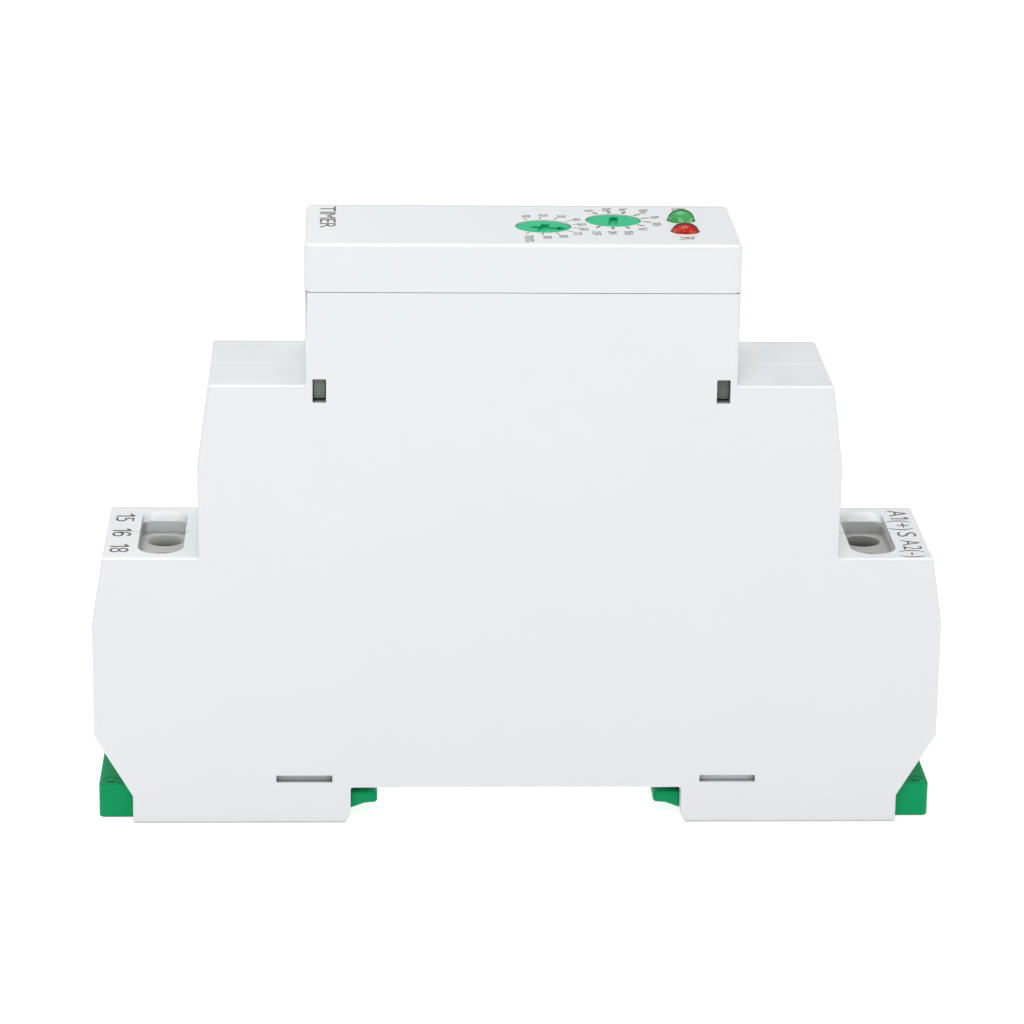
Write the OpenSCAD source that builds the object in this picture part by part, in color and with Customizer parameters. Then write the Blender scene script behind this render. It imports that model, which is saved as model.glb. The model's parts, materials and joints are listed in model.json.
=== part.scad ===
// DIN rail timer, one module wide.
// X runs across the rail from the output terminals (-X) to the supply terminals (+X).
// Y runs along the rail, +Z points from the rail towards the operator.
// The origin is the centre of the rail seat. Left is -X, right is +X, near is -Y, far is +Y.

/* [Housing] */
// Length over both terminal ends
body_len = 90; // [89.6:0.1:91]
// Width of the module along the rail
body_w = 18; // [17.9:0.1:18.4]
// How far the feet reach behind the rail seat
foot_depth = 4; // [3.9:0.05:4.1]
// Height of the front face above the rail seat
front_h = 59.85; // [59.75:0.05:61]
// Wall thickness of the two shells
wall = 1.5; // [1.4:0.05:1.6]
// Width of the rail channel between the feet
channel_w = 35.4; // [35.2:0.1:35.8]
// Half length over the two feet
foot_x = 41; // [40.8:0.1:41.2]
// Height of the lower shoulders, which carry the terminals
low_shoulder_z = 25.95; // [25.8:0.05:26]
// Half length of the middle step
mid_x = 33.75; // [33.5:0.05:34]
// Height of the middle shoulders
mid_shoulder_z = 44.8; // [44.6:0.1:45]
// Half length of the front module
top_x = 22.5; // [22.4:0.05:22.6]
// Height of the joint between housing and front cap
seam_z = 54.68; // [54.6:0.02:54.9]

/* [Terminals] */
// Distance of the terminal screws from the middle
screw_x = 37.7; // [37.5:0.1:37.8]
// Distance of each screw from the split plane
screw_y = 2.9; // [2.85:0.05:3.05]
// Radius of the screwdriver holes
driver_r = 1.95; // [1.9:0.05:2]
// Depth of the recess around the screwdriver holes
recess_depth = 1.9; // [1.8:0.1:2]
// Radius of the wire entries
wire_r = 1.5; // [1.4:0.05:1.5]
// Height of the wire entries above the rail seat
wire_z = 11.8; // [11.75:0.05:11.85]
// Radius of the screw heads
head_r = 1.75; // [1.6:0.05:1.8]
// Radius of the screw shanks
shank_r = 1.25; // [1.2:0.05:1.25]

/* [Rail clips] */
// Travel of a clip from locked to released
clip_travel = 3.2; // [3:0.1:3.2]
// How far a clip nose reaches under the rail
nose_len = 2.85; // [2.8:0.05:3.1]
// Width of a clip along the rail
clip_w = 14.6; // [13.6:0.1:14.7]
// Outer end of the finger tab, from the middle
tab_x = 44.7; // [44.4:0.05:44.9]
// Top of the clip below the rail seat, which leaves room for the rail lip
lip_gap = 1.05; // [1.02:0.01:1.08]

/* [Front] */
// Radius of the dials
dial_r = 2.86; // [2.84:0.01:2.95]
// Distance of the dial tops below the front face
dial_sink = 0.15; // [0.1:0.05:0.3]
// Pointer angle of the time dial
time_angle = -12; // [-120:1:120]
// Pointer angle of the range dial
range_angle = 85; // [-120:1:120]
// Radius of the indicator lenses
led_r = 1.46; // [1.4:0.01:1.47]

/* [Hidden] */
$fn = 48;
half_w = body_w / 2;
inner_y = half_w - wall;
half_len = body_len / 2;
channel_x = channel_w / 2;
foot_z = -foot_depth;
foot_floor_z = foot_z + 0.9;
recess_z = low_shoulder_z - recess_depth;
shelf_z = recess_z - 1.6;
dial_top = front_h - dial_sink;

// [x, y] places on the front
time_pos = [2.35, -0.8];
range_pos = [9.85, 2.0];
power_led_pos = [17.03, 2.2];
relay_led_pos = [17.08, -2.7];
led_lead_pos = [for (led = [power_led_pos, relay_led_pos], side = [-1, 1]) led + [side * 1.0, 0]];
header_pin_pos = [for (i = [0 : 4]) [-15.08 + 2.54 * i, 3.9]];

// Main board: face towards the parts, and thickness
board_y = 5.2;
board_t = 1.2;
board_back_y = board_y + board_t;
// Front board: face towards the rail, and thickness
front_board_z = 50.4;
front_board_top = front_board_z + 1.0;

// Contact bars: underside, top, and inner ends from the middle
bar_z = 13.4;
bar_top = bar_z + 1.0;
near_bar_x = 28.7;
far_bar_x = 31.2;
bar_tail_t = 1;

// Bosses that join the shells, [x, z]
boss_pos = [[-28, 39], [28, 39], [-28, 7], [28, 7]];
boss_r = 2;
// Relay pins, [x, z]
relay_pin_pos = [[-10.5, 5.2], [-10.5, 18.4], [6.1, 5.2], [9.4, 5.2], [-2, 5.2]];

// Clip stop post and spring
post_in_x = 31.35;
post_out_x = 32.95;
post_gap = 0.05;
lug_face_x = 27;
spring_wall_x = 36;
spring_z = 1.3;

// Outlines of the right half, as [x, z] points
// Outside of the housing, from the rail channel round to the front
half_outline = [
    [channel_x, 0], [channel_x, foot_z + 1.07], [channel_x + 0.55, foot_z],
    [foot_x, foot_z], [foot_x, -0.93], [half_len, 5.9], [half_len, 18.6],
    [half_len - 1.18, low_shoulder_z], [mid_x, low_shoulder_z], [mid_x, 36.07],
    [mid_x - 1.18, mid_shoulder_z], [top_x, mid_shoulder_z], [top_x, seam_z]];
// Hollow inside the housing
half_cavity = [
    [channel_x + wall, wall], [channel_x + wall, foot_floor_z],
    [foot_x - wall, foot_floor_z], [foot_x - wall, -0.45],
    [half_len - wall, 6.3], [half_len - wall, 18.7],
    [half_len - wall - 0.6, shelf_z], [mid_x - wall, shelf_z], [mid_x - wall, 36.1],
    [mid_x - wall - 1.0, mid_shoulder_z - wall], [top_x - 1.3, mid_shoulder_z - wall],
    [top_x - 1.3, front_h]];
// Main board
half_board = [
    [33.2, 3], [33.2, 20.5], [31.0, 22.0], [31.0, 36], [30.0, 42.2], [19.6, 42.2], [19.6, 49.0]];

// Adds the mirrored left half to a right half outline
function both(half) =
    concat(half, [for (i = [len(half) - 1 : -1 : 0]) [-half[i].x, half[i].y]]);

// Extrudes an X-Z drawing from y0 to y1
module slab(y0, y1) translate([0, y1, 0]) rotate([90, 0, 0]) linear_extrude(y1 - y0) children();
// Cylinders along one axis; place holds the other two coordinates in x, y, z order
module rod_x(place, r, x0, x1)
    translate([min(x0, x1), place[0], place[1]]) rotate([0, 90, 0]) cylinder(r = r, h = abs(x1 - x0));
module rod_y(place, r, y0, y1)
    translate([place[0], y0, place[1]]) rotate([-90, 0, 0]) cylinder(r = r, h = y1 - y0);
module rod_z(r, z0, z1, place = [0, 0])
    translate([place[0], place[1], z0]) cylinder(r = r, h = z1 - z0);
// Box between any two opposite corners
module box(a, b) {
    low = [for (i = [0 : 2]) min(a[i], b[i])];
    high = [for (i = [0 : 2]) max(a[i], b[i])];
    translate(low) cube(high - low);
}
// Block centred on the Z axis
module centred_block(half_x, half_y, z0, z1)
    translate([0, 0, z0]) linear_extrude(z1 - z0) square([2 * half_x, 2 * half_y], center = true);
// Rectangle with round corners, made of exact pieces
module round_rect(half_x, half_y, r) {
    square([2 * half_x - 2 * r, 2 * half_y], center = true);
    square([2 * half_x, 2 * half_y - 2 * r], center = true);
    for (side = [-1, 1], row = [-1, 1])
        translate([side * (half_x - r), row * (half_y - r)]) circle(r = r);
}

// In all that follows, side is the sign of X and row is the sign of Y

// ---- Housing ----

// Recess with a flared rim, cut into one lower shoulder
module terminal_recess(side) {
    recess_x = 37.82;
    translate([side * recess_x, 0, 0]) {
        translate([0, 0, recess_z]) linear_extrude(recess_depth + 1) round_rect(2.39, 5.7, 1.4);
        hull() {
            translate([0, 0, low_shoulder_z - 0.58])
                linear_extrude(0.01) round_rect(2.38, 5.69, 1.39, $fn = 32);
            translate([0, 0, low_shoulder_z])
                linear_extrude(0.01) round_rect(2.42, 7.4, 2.3, $fn = 32);
        }
    }
}

// Wire entry with a lead-in
module wire_entry(side) {
    flare = 0.8;
    rod_x([screw_y, wire_z], wire_r, side * (half_len - wall - 1), side * (half_len + 1));
    translate([side * (half_len - flare / 2), screw_y, wire_z])
        rotate([0, side * 90, 0]) cylinder(r1 = wire_r, r2 = wire_r + flare, h = flare);
}

// Inner walls at one end of a shell, sunk into the side wall by the overlap
module shell_fittings(side, peg) {
    overlap = 0.2;
    wall_y = inner_y + overlap;
    chamber_in_x = side * 34.6;
    chamber_out_x = side * (half_len - wall + overlap);
    chamber_z = 8.2;
    // divider between the two clamps, and the floor of the clamp chamber
    box([chamber_in_x, 0, chamber_z], [chamber_out_x, 0.35, shelf_z + overlap]);
    box([chamber_in_x, 0, chamber_z], [chamber_out_x, wall_y, chamber_z + 0.8]);
    // wall that the clip spring pushes on
    box([side * spring_wall_x, 0, -0.9], [side * (spring_wall_x + 1.2), wall_y, 8.4]);
    // post that stops the clip at both ends of its travel
    box([side * post_in_x, 0, foot_z + 0.7], [side * post_out_x, 1.2, -0.6]);
    // rib that the main board rests against
    if (peg) box([side * 30.2, -board_y, 22.6], [side * 32.2, wall_y, 23.4]);
    else box([side * 16, board_back_y, 20], [side * 17, wall_y, 42.5]);
}

// Openings at one end of a shell
module shell_cuts(side) {
    terminal_recess(side);
    // screwdriver hole over each clamp
    rod_z(driver_r, shelf_z - 1, shelf_z + 3, [side * screw_x, screw_y]);
    wire_entry(side);
    // openings for the rail clip in both walls of the foot
    for (span = [[channel_x - 1, channel_x + wall + 0.1], [foot_x - wall - 0.1, foot_x + 1]])
        box([side * span[0], -1, foot_floor_z],
            [side * span[1], clip_w / 2 + 0.1, -lip_gap + 0.1]);
    // groove in the side face, just above the rail seat
    box([side * 19.69, half_w - 0.7, 0.7], [side * 25.63, half_w + 1, 1.45]);
    // latch window, and the groove for the leg of the cap behind it
    latch_y = inner_y - 1.8;
    box([side * 20.33, latch_y, 42.93], [side * 21.7, half_w + 1, 45.42]);
    box([side * 20.2, latch_y, 42.7], [side * 21.9, inner_y, seam_z + 1]);
}

// One shell in the far (+Y) place; peg = true gives it pegs in place of sockets
module shell(peg) difference() {
    union() {
        difference() {
            slab(0, half_w) polygon(both(half_outline));
            slab(-1, inner_y) polygon(both(half_cavity));
        }
        for (place = boss_pos) {
            rod_y(place, boss_r, 0, inner_y + 0.3);
            if (peg) rod_y(place, 1, -3, 0.2);
        }
        for (side = [-1, 1]) shell_fittings(side, peg);
    }
    if (!peg) for (place = boss_pos) rod_y(place, 1.05, -1, 3.2);
    for (side = [-1, 1]) shell_cuts(side);
}
module housing_far_half() color("whitesmoke") shell(false);
module housing_near_half() color("whitesmoke") mirror([0, 1, 0]) shell(true);

// ---- Front cap ----

cap_gap = 0.06;
cap_base_z = seam_z + 0.04;
leg_end_z = 43.15;

// Face plate with a skirt
module cap_face() difference() {
    translate([0, 0, cap_base_z])
        linear_extrude(front_h - cap_base_z) round_rect(top_x + 0.07, half_w, 0.9);
    centred_block(top_x - 1.4, inner_y, seam_z - 1, front_h - 1.6);
}
// Lip that fits inside the housing
module cap_lip() difference() {
    centred_block(top_x - 1.36, inner_y - cap_gap, 52.7, seam_z + 1);
    centred_block(top_x - 2.4, inner_y - 1.05, 51, 60);
}
// Leg with a latch tooth at its end
module cap_leg(side, row) {
    box([side * 20.42, row * 5.9, leg_end_z], [side * 21.62, row * (inner_y - cap_gap), 53.5]);
    box([side * 20.42, row * 6.5, leg_end_z], [side * 21.62, row * (inner_y + 0.5), 45.3]);
}
module front_cap() color("whitesmoke") difference() {
    union() {
        cap_face();
        cap_lip();
        for (side = [-1, 1], row = [-1, 1]) cap_leg(side, row);
    }
    for (place = [time_pos, range_pos]) rod_z(dial_r + 0.07, 50, 70, place);
    for (place = [power_led_pos, relay_led_pos]) rod_z(led_r + 0.05, 50, 70, place);
}

// ---- Dials and lamps ----

shaft_r = 1.5;
wiper_z = 52.7;
wiper_t = 0.25;
led_base_z = 54.4;

// Long arm, cross arm and arrow head
module cross_recess() {
    half_slot = 0.42;
    translate([-1.2, -half_slot]) square([3.2, 2 * half_slot]);
    translate([-half_slot, -1.55]) square([2 * half_slot, 3.1]);
    polygon([[1.55, -0.8], [2.55, 0], [1.55, 0.8]]);
}
// Plain slot with a pointed end
module slot_recess()
    polygon([[-1.45, -0.43], [1.75, -0.43], [2.2, 0], [1.75, 0.43], [-1.45, 0.43]]);

// Dial with the child drawing as screwdriver recess; angle 0 points along +X
module dial(place, angle) translate([place.x, place.y, 0]) rotate([0, 0, angle]) difference() {
    union() {
        rod_z(dial_r, 58.0, dial_top);
        rod_z(3.35, 57.3, 58.1);
        rod_z(shaft_r, 52.3, 57.8);
    }
    translate([0, 0, dial_top - 0.4]) linear_extrude(1) children();
}
module time_dial() color("mediumseagreen") dial(time_pos, time_angle) cross_recess();
module range_dial() color("mediumseagreen") dial(range_pos, range_angle) slot_recess();

// Spring wiper fixed on the dial shaft
module wiper(place, angle)
    translate([place.x, place.y, wiper_z]) rotate([0, 0, angle]) difference() {
        union() {
            cylinder(r = 2, h = wiper_t);
            translate([0, -0.5, 0]) cube([2.4, 1, wiper_t]);
        }
        rod_z(shaft_r, -1, 2);
    }
module time_wiper() color("gold") wiper(time_pos, time_angle);
module range_wiper() color("gold") wiper(range_pos, range_angle);

// Square body of a trimmer or a small rotary switch, hollow around the wiper
module trimmer(place, top) translate([place.x, place.y, 0]) difference() {
    half_side = 3.2;
    hollow_z = 52.15;
    box([-half_side, -half_side, front_board_top], [half_side, half_side, top]);
    rod_z(2.6, hollow_z, hollow_z + 1.4);
    rod_z(shaft_r + 0.05, hollow_z, hollow_z + 10);
}
module time_trimmer() color("royalblue") trimmer(time_pos, 55);
module range_switch() color("dimgray") trimmer(range_pos, 55.6);

// Indicator lamp: flange, barrel and dome; the dome centre lies sink below the front face
module led(place, sink) translate([place.x, place.y, 0]) {
    rod_z(1.8, led_base_z, led_base_z + 0.8);
    rod_z(led_r, led_base_z, front_h - sink);
    translate([0, 0, front_h - sink]) sphere(r = led_r);
}
module power_led() color("limegreen") led(power_led_pos, 0.32);
module relay_led() color("firebrick") led(relay_led_pos, 0.55);
module led_leads() color("silver")
    for (place = led_lead_pos) rod_z(0.22, front_board_z - 0.8, led_base_z, place);

// ---- Boards ----

// Board behind the front cap, notched for the cap legs
module front_board() color("darkgreen") difference() {
    cut_z = front_board_z - 1;
    cut_top = front_board_z + 2;
    box([-19.6, -6.9, front_board_z], [20, 6.9, front_board_top]);
    for (place = header_pin_pos) rod_z(0.4, cut_z, cut_top, place);
    for (place = led_lead_pos) rod_z(0.3, cut_z, cut_top, place);
    for (side = [-1, 1], row = [-1, 1])
        box([side * 20, row * 5.7, cut_z], [side * 22.4, row * 8.3, cut_top]);
}

// Main board, upright beside the far side wall
module main_board() color("darkgreen") difference() {
    cut_y0 = 4;
    cut_y1 = 8;
    slot_gap = 0.1;
    slab(board_y, board_back_y) polygon(both(half_board));
    for (place = boss_pos) rod_y(place, boss_r + 0.15, cut_y0, cut_y1);
    // slots for the tails of the contact bars
    for (side = [-1, 1], bar_x = [near_bar_x, far_bar_x])
        box([side * (bar_x - slot_gap), cut_y0, bar_z - slot_gap],
            [side * (bar_x + bar_tail_t + slot_gap), cut_y1, bar_top + slot_gap]);
    for (place = relay_pin_pos) rod_y(place, 0.5, cut_y0, cut_y1);
}

// Pin strip that joins the two boards
module board_header() color("dimgray") difference() {
    box([-16.4, 2.6, 46.4], [-3.6, board_y, 48.9]);
    for (place = header_pin_pos) rod_z(0.32, 40, 60, place);
}
module header_pins() color("gold")
    for (place = header_pin_pos) rod_z(0.3, 45.6, 52.2, place);

// ---- Rail clips ----

half_clip = clip_w / 2;

// Waste outside a rounded upright edge of the clip; inward is the X sign towards the material
module edge_waste(x, inward, row) {
    r = 0.5;
    translate([x, row * half_clip, -6]) difference() {
        translate([-r, -r, 0]) cube([2 * r, 2 * r, 8]);
        translate([inward * r, -row * r, -1]) cylinder(r = r, h = 10);
    }
}

// Rail clip at the +X end: nose, sliding plate, lug with spring peg, finger tab
module clip() {
    nose_tip = channel_x - nose_len;
    plate_z = -2.98;
    tab_top = -0.12;
    tab_z = -3.95;
    tab_in_x = foot_x + 0.06;
    difference() {
        union() {
            // plate and nose in one outline
            slab(-half_clip, half_clip) polygon([
                [nose_tip + 0.2, -lip_gap], [nose_tip, -lip_gap - 0.2],
                [nose_tip, -2.05], [nose_tip + 0.25, -2.3],
                [channel_x - 1.5, -2.38], [channel_x + 0.1, plate_z],
                [foot_x + 1, plate_z], [foot_x + 1, -lip_gap]]);
            // finger tab outside the foot
            slab(-half_clip, half_clip) polygon([
                [tab_in_x, tab_z], [tab_x - 0.15, tab_z], [tab_x, -3.8], [tab_x, -0.17],
                [tab_x - 0.05, tab_top], [foot_x + 0.6, tab_top], [tab_in_x, -1.0]]);
            // lug that the spring pushes on, and its peg
            box([25.2, -2.6, -1.2], [lug_face_x, 2.6, 3.0]);
            rod_x([0, spring_z], 0.85, 26.5, 29.2);
        }
        // window around the stop post, longer than the post by the travel
        box([post_in_x - clip_travel - post_gap, -1.5, -5], [post_out_x + post_gap, 1.5, -0.5]);
        for (row = [-1, 1]) {
            edge_waste(tab_x, -1, row);
            edge_waste(nose_tip, 1, row);
        }
    }
}
module clip_right() color("seagreen") clip();
module clip_left() color("seagreen") rotate([0, 0, 180]) clip();

// Compression spring along X, between the lug and the spring wall of the right end
spring_r = 1.45;
spring_wire_r = 0.22;
spring_turns = 6;
spring_steps = 18 * spring_turns;
wire_sides = 6;
spring_gap = 0.04;

// Ring of points around the wire at one angle of the coil
function wire_ring(x, coil_angle) = [
    for (j = [0 : wire_sides - 1])
        let (wire_angle = 360 * j / wire_sides, radius = spring_r + spring_wire_r * cos(wire_angle))
        [x + spring_wire_r * sin(wire_angle), radius * cos(coil_angle), radius * sin(coil_angle)]];

module coil_spring() {
    x0 = lug_face_x + spring_gap + spring_wire_r;
    x1 = spring_wall_x - spring_gap - spring_wire_r;
    points = [for (i = [0 : spring_steps])
        each wire_ring(x0 + (x1 - x0) * i / spring_steps, 360 * spring_turns * i / spring_steps)];
    sides = [for (i = [0 : spring_steps - 1], j = [0 : wire_sides - 1])
        let (next = (j + 1) % wire_sides, ring = i * wire_sides, next_ring = ring + wire_sides)
        [ring + j, ring + next, next_ring + next, next_ring + j]];
    caps = [
        [for (j = [wire_sides - 1 : -1 : 0]) j],
        [for (j = [0 : wire_sides - 1]) spring_steps * wire_sides + j]];
    translate([0, 0, spring_z])
        polyhedron(points = points, faces = concat(sides, caps), convexity = 6);
}
module clip_spring_right() color("silver") coil_spring();
module clip_spring_left() color("silver") mirror([1, 0, 0]) coil_spring();

// ---- Terminals ----

head_top = recess_z - 1.2;
screw_tip_z = bar_top + 0.05;
chamfer_h = 0.3;
cage_z = 9.2;
cage_top = cage_z + 8.8;

// Terminal screw with slot and cross
module terminal_screw(side, row) color("lightsteelblue")
    translate([side * screw_x, row * screw_y, 0]) difference() {
        slot_z = head_top - 0.9;
        union() {
            translate([0, 0, head_top - chamfer_h])
                cylinder(r1 = head_r, r2 = head_r - 0.25, h = chamfer_h);
            rod_z(head_r, head_top - 1.6, head_top - chamfer_h);
            rod_z(shank_r, screw_tip_z + chamfer_h, head_top - 1);
            translate([0, 0, screw_tip_z]) cylinder(r1 = shank_r - 0.3, r2 = shank_r, h = chamfer_h);
        }
        translate([-2, -0.3, slot_z]) cube([4, 0.6, 2]);
        translate([-0.3, -1.1, slot_z]) cube([0.6, 2.2, 2]);
    }
module terminal_screw_left_near() terminal_screw(-1, -1);
module terminal_screw_left_far() terminal_screw(-1, 1);
module terminal_screw_right_near() terminal_screw(1, -1);
module terminal_screw_right_far() terminal_screw(1, 1);

// Rising cage: a box of bent steel, open along X, with the screw hole in its top
module clamp_cage(side, row) color("silver")
    translate([side * screw_x, row * screw_y, 0]) difference() {
        box([-2.3, -2.4, cage_z], [2.3, 2.4, cage_top]);
        box([-3, -1.75, cage_z + 1], [3, 1.75, cage_top - 1.6]);
        rod_z(shank_r + 0.05, cage_z + 4, cage_z + 14);
    }
module clamp_cage_left_near() clamp_cage(-1, -1);
module clamp_cage_left_far() clamp_cage(-1, 1);
module clamp_cage_right_near() clamp_cage(1, -1);
module clamp_cage_right_far() clamp_cage(1, 1);

// Contact bar from the clamp to its solder tail in the main board
module contact_bar(side, row) color("goldenrod") {
    bar_x = row > 0 ? far_bar_x : near_bar_x;
    y0 = row > 0 ? 1.5 : -4.5;
    box([side * bar_x, y0, bar_z], [side * 42.4, y0 + 3, bar_top]);
    box([side * bar_x, y0, bar_z], [side * (bar_x + bar_tail_t), 7.0, bar_top]);
}
module contact_bar_left_near() contact_bar(-1, -1);
module contact_bar_left_far() contact_bar(-1, 1);
module contact_bar_right_near() contact_bar(1, -1);
module contact_bar_right_far() contact_bar(1, 1);

// ---- Changeover relay ----

relay_left = -12.2;
relay_right = 11.2;
relay_z = 3.8;
relay_top = 20.0;
base_y = 4.2;
cover_y = -6.6;
cover_t = 0.6;
// Coil axis [y, z], and the ends and inner radius of the winding
coil_y = -0.9;
coil_axis = [coil_y, 12.4];
coil_x0 = -8.5;
coil_x1 = 4.5;
barrel_r = 2.3;
yoke_x = -9.9;
yoke_top = 18.6;
// Contact rivets [y, z], and the blades that carry them
rivet_axis = [-1.2, 5.8];
rivet_r = 0.8;
blade_y = -2.2;
blade_z = 4.9;
blade_t = 0.25;

module relay_base() color("dimgray") difference() {
    box([relay_left, base_y, relay_z], [relay_right, board_y, relay_top]);
    for (place = relay_pin_pos) rod_y(place, 0.42, 3, 8);
}
module relay_cover() color("gainsboro") difference() {
    box([relay_left, cover_y, relay_z], [relay_right, base_y, relay_top]);
    box([relay_left + cover_t, cover_y + cover_t, relay_z + cover_t],
        [relay_right - cover_t, 5, relay_top - cover_t]);
}
module relay_bobbin() color("ivory") difference() {
    flange_t = 0.8;
    union() {
        rod_x(coil_axis, 4.8, coil_x0 - flange_t, coil_x0);
        rod_x(coil_axis, 4.8, coil_x1, coil_x1 + flange_t);
        rod_x(coil_axis, barrel_r, -9, 5);
    }
    rod_x(coil_axis, 1.85, -10, 6);
}
module relay_coil() color("peru") difference() {
    rod_x(coil_axis, 4.3, coil_x0, coil_x1);
    rod_x(coil_axis, barrel_r, -9, 5);
}
module relay_core() color("silver") {
    rod_x(coil_axis, 1.8, yoke_x, 6);
    rod_x(coil_axis, 3.2, 5.4, 6.2);
}
module relay_yoke() color("silver") {
    yoke_t = 1.2;
    box([yoke_x - yoke_t, coil_y - 3, 7.6], [yoke_x, coil_y + 3, yoke_top]);
    box([-10.5, coil_y - 3, yoke_top - yoke_t], [7.0, coil_y + 3, yoke_top]);
}
module relay_armature() color("silver")
    box([7.1, coil_y - 2.8, 7.0], [8.2, coil_y + 2.8, 18.4]);

// Moving blade with a rivet head on each face
module relay_contact_blade() color("goldenrod") {
    box([8.2, blade_y, blade_z], [8.2 + blade_t, -0.2, 15]);
    rod_x(rivet_axis, rivet_r, 7.75, 8.3);
    rod_x(rivet_axis, rivet_r, 8.3, 8.9);
}
// Fixed blade that reaches the base, with a rivet from rivet_x0 to rivet_x1
module fixed_contact(x, rivet_x0, rivet_x1) color("goldenrod") {
    box([x, blade_y, blade_z], [x + blade_t, base_y, 6.6]);
    rod_x(rivet_axis, rivet_r, rivet_x0, rivet_x1);
}
module relay_make_contact() fixed_contact(5.95, 6.1, 6.52);
module relay_break_contact() fixed_contact(9.3, 8.95, 9.4);

// Bent leaf over the yoke and down behind the armature
module relay_spring() color("goldenrod") {
    leaf_top = 18.77;
    leaf_t = 0.15;
    box([2.5, -1.9, leaf_top - leaf_t], [8.4, -0.1, leaf_top]);
    box([8.4 - leaf_t, -1.9, 16.0], [8.4, -0.1, leaf_top]);
}
module relay_pins() color("silver") for (place = relay_pin_pos) rod_y(place, 0.4, base_y, 7.1);

// ---- Supply and timing parts on the main board ----

module dropper_capacitor() color("khaki") box([-30.4, -3.2, 23.6], [-14.6, board_y, 36.4]);
module smoothing_capacitors() color("darkslateblue") {
    rod_y([-8.6, 30], 4, -6.3, board_y);
    rod_y([0.4, 28], 3.15, -5.8, board_y);
}
// Disc and two leads
module varistor() color("steelblue") {
    x = 9.5;
    z = 35.5;
    rod_y([x, z], 3.5, 1.2, 4.4);
    for (side = [-1, 1]) rod_y([x + side * 1.8, z], 0.3, 4, board_y);
}
module bridge_rectifier() color("dimgray") box([7.2, 2.7, 23.5], [11.9, board_y, 28.0]);
// Body, and a row of eight leads along each long side
module timer_chip() color("dimgray") {
    box([15, 3.6, 25.2], [25, board_y - 0.15, 29.2]);
    for (i = [0 : 7], z = [24.2, 29.1]) {
        x = 15.35 + 1.27 * i;
        box([x, 4.4, z], [x + 0.4, board_y, z + 1.1]);
    }
}
// Round body with a flat on its lower side
module voltage_regulator() color("dimgray") difference() {
    rod_y([28, 30], 2.3, 0.8, board_y);
    box([24, 0, 26], [32, 6, 28.6]);
}
module resistors() color("burlywood")
    for (z = [31.8, 34.6, 37.4]) rod_x([3.9, z], 1.15, 15.5, 21.8);
module fusible_resistor() color("lightblue") rod_x([3.1, 22], 1.7, 12.5, 22.5);

housing_near_half();
housing_far_half();
front_cap();
time_dial();
range_dial();
time_wiper();
range_wiper();
time_trimmer();
range_switch();
power_led();
relay_led();
led_leads();
front_board();
main_board();
board_header();
header_pins();
clip_left();
clip_right();
clip_spring_left();
clip_spring_right();
terminal_screw_left_near();
terminal_screw_left_far();
terminal_screw_right_near();
terminal_screw_right_far();
clamp_cage_left_near();
clamp_cage_left_far();
clamp_cage_right_near();
clamp_cage_right_far();
contact_bar_left_near();
contact_bar_left_far();
contact_bar_right_near();
contact_bar_right_far();
relay_base();
relay_cover();
relay_bobbin();
relay_coil();
relay_core();
relay_yoke();
relay_armature();
relay_contact_blade();
relay_make_contact();
relay_break_contact();
relay_spring();
relay_pins();
dropper_capacitor();
smoothing_capacitors();
varistor();
bridge_rectifier();
timer_chip();
voltage_regulator();
resistors();
fusible_resistor();
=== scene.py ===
"""Timer relay that snaps on a rail, with two screw terminals at each end.

The length runs along X, the thickness along Y (near half at -Y, far half at +Y) and Z points up
from the rail clips at the foot to the printed face with its dials and lamps. Meshes are modelled
in millimetres and scaled to metres when finished; shaders and studio work in metres.
"""
import json
import math

import bmesh
import bpy
from mathutils import Matrix, Vector


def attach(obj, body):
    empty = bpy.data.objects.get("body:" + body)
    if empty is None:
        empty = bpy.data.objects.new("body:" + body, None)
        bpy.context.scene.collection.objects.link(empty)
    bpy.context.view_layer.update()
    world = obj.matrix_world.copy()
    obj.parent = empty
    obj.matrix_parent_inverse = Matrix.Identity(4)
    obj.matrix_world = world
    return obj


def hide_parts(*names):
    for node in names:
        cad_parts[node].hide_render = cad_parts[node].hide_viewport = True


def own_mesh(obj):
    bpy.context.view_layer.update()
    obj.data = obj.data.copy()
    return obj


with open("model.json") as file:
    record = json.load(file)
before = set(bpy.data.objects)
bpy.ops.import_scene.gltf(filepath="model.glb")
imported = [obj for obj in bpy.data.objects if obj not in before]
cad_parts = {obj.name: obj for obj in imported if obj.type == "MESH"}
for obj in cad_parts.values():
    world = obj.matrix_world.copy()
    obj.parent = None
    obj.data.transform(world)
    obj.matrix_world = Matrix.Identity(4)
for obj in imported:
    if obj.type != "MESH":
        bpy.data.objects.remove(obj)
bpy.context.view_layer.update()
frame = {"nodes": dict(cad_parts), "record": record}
NODES = frame["nodes"]

# ---------------------------------------------------------------- driving sizes, mm
FOOT_Z = -4.0
FACE_Z = 59.85  # front face
SHOULDER_Z = 25.95  # lower shoulders, over the terminals
WELL_Z = SHOULDER_Z - 1.9  # floor of the terminal wells
SEAM_Z = 54.68  # between the housing halves and the front cap
HALF_THICKNESS = 9.0
TERMINAL_X, TERMINAL_Y = 37.7, 2.9
WIRE_Z = 11.8
SKIN = 0.01  # visual surfaces lie this far inside the CAD ones
CHANNEL_X = 17.7  # half width of the rail channel
# (x, z) of the +X side, from the rail channel round to the top
RIGHT_OUTLINE = [
    (CHANNEL_X, 0.0), (CHANNEL_X, -2.93), (CHANNEL_X + 0.55, FOOT_Z), (41.0, FOOT_Z),
    (41.0, -0.93), (45.0, 5.9), (45.0, 18.6), (43.82, SHOULDER_Z), (33.75, SHOULDER_Z),
    (33.75, 36.07), (32.57, 44.8), (22.5, 44.8), (22.5, SEAM_Z + 0.8),
]
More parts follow.
